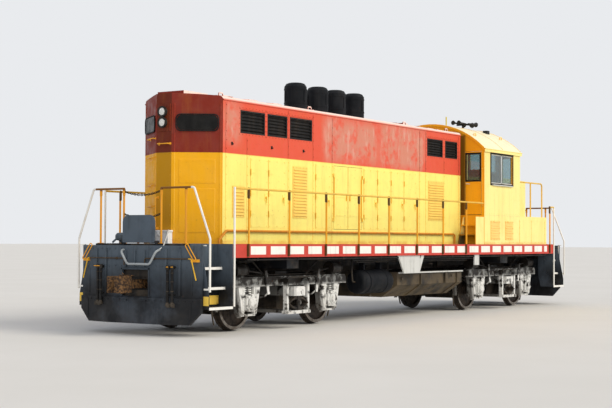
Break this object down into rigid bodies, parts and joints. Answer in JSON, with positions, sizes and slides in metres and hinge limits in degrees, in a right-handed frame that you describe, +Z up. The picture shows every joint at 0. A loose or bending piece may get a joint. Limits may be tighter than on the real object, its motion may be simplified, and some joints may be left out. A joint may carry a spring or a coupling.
{
  "type": "diesel locomotive",
  "caption": "Hood-type diesel locomotive with a low nose, side walkways, swivelling trucks, flanged wheelsets, hinged doors, swinging couplers and fold-down end steps.",
  "frame": {"origin": "bottom centre of the whole locomotive, at the lowest point of the wheel flanges, 27 mm under the rail top", "axes": "+X forward to the low nose, +Y to the left side, +Z up"},
  "size_m": [17.04, 3.116, 4.9919],
  "materials": {
    "hood_paint": "faded gloss enamel, red over yellow",
    "cab_paint": "faded yellow enamel",
    "frame_paint": "red enamel, black below",
    "pilot_paint": "dusty dark slate enamel",
    "white_paint": "satin white enamel",
    "silver_paint": "aluminium-coloured paint",
    "black_steel": "matt black paint",
    "bare_steel": "worn rolling steel",
    "rusty_steel": "rusted casting",
    "engine_iron": "painted casting",
    "window_glass": "clear",
    "lamp_glass": "clear lamp glass",
    "interior_paint": "satin grey-green",
    "seat_vinyl": "black vinyl",
    "hose_rubber": "matt black"
  },
  "bodies": {
    "locomotive": {"air_reservoirs": "black_steel", "battery_boxes": "cab_paint", "cab_floor": "interior_paint", "cab_glass": "window_glass", "cab_roof": "cab_paint", "cab_seats": "seat_vinyl", "cab_walls": "cab_paint", "control_stand": "interior_paint", "corner_steps": "pilot_paint", "end_handrails": "cab_paint", "end_hoses": "hose_rubber", "engine_block": "engine_iron", "exhaust_stacks": "black_steel", "foot_pipes": "cab_paint", "fuel_tank": "black_steel", "handrail_posts": "cab_paint", "hanger_plates": "white_paint", "headlights": "lamp_glass", "hood_panels": "hood_paint", "hood_roof": "hood_paint", "hood_walls": "hood_paint", "horn": "black_steel", "nose": "cab_paint", "number_boards": "black_steel", "pilots": "pilot_paint", "radiator_shutters": "black_steel", "roof_fans": "black_steel", "roof_fittings": "black_steel", "side_handrails": "cab_paint", "step_rails": "white_paint", "uncoupling_levers": "cab_paint", "underframe": "frame_paint"},
    "truck_rear": {"truck_rear_frame": "silver_paint", "truck_rear_axle_boxes": "silver_paint", "truck_rear_springs": "silver_paint", "truck_rear_bolster": "silver_paint", "truck_rear_brakes": "silver_paint", "truck_rear_motors": "black_steel"},
    "wheelset_1": {"wheelset_1": "bare_steel"},
    "wheelset_2": {"wheelset_2": "bare_steel"},
    "coupler_rear": {"coupler_rear": "rusty_steel"},
    "drop_step_rear": {"drop_step_rear": "pilot_paint"},
    "cab_door_rear": {"cab_door_rear": "cab_paint", "cab_door_rear_pane": "window_glass"},
    "truck_front": {"truck_front_frame": "silver_paint", "truck_front_axle_boxes": "silver_paint", "truck_front_springs": "silver_paint", "truck_front_bolster": "silver_paint", "truck_front_brakes": "silver_paint", "truck_front_motors": "black_steel"},
    "wheelset_3": {"wheelset_3": "bare_steel"},
    "wheelset_4": {"wheelset_4": "bare_steel"},
    "coupler_front": {"coupler_front": "rusty_steel"},
    "drop_step_front": {"drop_step_front": "pilot_paint"},
    "cab_door_front": {"cab_door_front": "cab_paint", "cab_door_front_pane": "window_glass"},
    "engine_door_right_rear": {"engine_door_right_rear": "hood_paint"},
    "engine_door_right_front": {"engine_door_right_front": "hood_paint"},
    "engine_door_left_rear": {"engine_door_left_rear": "hood_paint"},
    "engine_door_left_front": {"engine_door_left_front": "hood_paint"}
  },
  "joints": [
    {"name": "truck_rear_swivel", "type": "hinge", "parent": "locomotive", "child": "truck_rear", "pos_m": [-4.7245, 0, 1.147], "axis": [0, 0, 1], "range_deg": [-4, 4]},
    {"name": "wheelset_1_spin", "type": "hinge", "parent": "truck_rear", "child": "wheelset_1", "pos_m": [-6.096, 0, 0.535], "axis": [0, 1, 0], "continuous": true},
    {"name": "wheelset_2_spin", "type": "hinge", "parent": "truck_rear", "child": "wheelset_2", "pos_m": [-3.353, 0, 0.535], "axis": [0, 1, 0], "continuous": true},
    {"name": "coupler_rear_swing", "type": "hinge", "parent": "locomotive", "child": "coupler_rear", "pos_m": [-7.35, 0, 0.903], "axis": [0, 0, 1], "range_deg": [-8, 8]},
    {"name": "drop_step_rear_fold", "type": "hinge", "parent": "locomotive", "child": "drop_step_rear", "pos_m": [-7.848, 0, 1.647], "axis": [0, -1, 0], "range_deg": [0, 88]},
    {"name": "cab_door_rear_hinge", "type": "hinge", "parent": "locomotive", "child": "cab_door_rear", "pos_m": [3.04, -1.42, 3.077], "axis": [0, 0, -1], "range_deg": [0, 90]},
    {"name": "truck_front_swivel", "type": "hinge", "parent": "locomotive", "child": "truck_front", "pos_m": [4.7245, 0, 1.147], "axis": [0, 0, 1], "range_deg": [-4, 4]},
    {"name": "wheelset_3_spin", "type": "hinge", "parent": "truck_front", "child": "wheelset_3", "pos_m": [3.353, 0, 0.535], "axis": [0, 1, 0], "continuous": true},
    {"name": "wheelset_4_spin", "type": "hinge", "parent": "truck_front", "child": "wheelset_4", "pos_m": [6.096, 0, 0.535], "axis": [0, 1, 0], "continuous": true},
    {"name": "coupler_front_swing", "type": "hinge", "parent": "locomotive", "child": "coupler_front", "pos_m": [7.35, 0, 0.903], "axis": [0, 0, 1], "range_deg": [-8, 8]},
    {"name": "drop_step_front_fold", "type": "hinge", "parent": "locomotive", "child": "drop_step_front", "pos_m": [7.848, 0, 1.647], "axis": [0, 1, 0], "range_deg": [0, 88]},
    {"name": "cab_door_front_hinge", "type": "hinge", "parent": "locomotive", "child": "cab_door_front", "pos_m": [4.92, 1.42, 3.077], "axis": [0, 0, -1], "range_deg": [0, 90]},
    {"name": "engine_door_right_rear_hinge", "type": "hinge", "parent": "locomotive", "child": "engine_door_right_rear", "pos_m": [-2.881, -0.948, 2.577], "axis": [0, 0, -1], "range_deg": [0, 105]},
    {"name": "engine_door_right_front_hinge", "type": "hinge", "parent": "locomotive", "child": "engine_door_right_front", "pos_m": [-1.769, -0.948, 2.577], "axis": [0, 0, 1], "range_deg": [0, 105]},
    {"name": "engine_door_left_rear_hinge", "type": "hinge", "parent": "locomotive", "child": "engine_door_left_rear", "pos_m": [-2.881, 0.948, 2.577], "axis": [0, 0, 1], "range_deg": [0, 105]},
    {"name": "engine_door_left_front_hinge", "type": "hinge", "parent": "locomotive", "child": "engine_door_left_front", "pos_m": [-1.769, 0.948, 2.577], "axis": [0, 0, -1], "range_deg": [0, 105]}
  ]
}
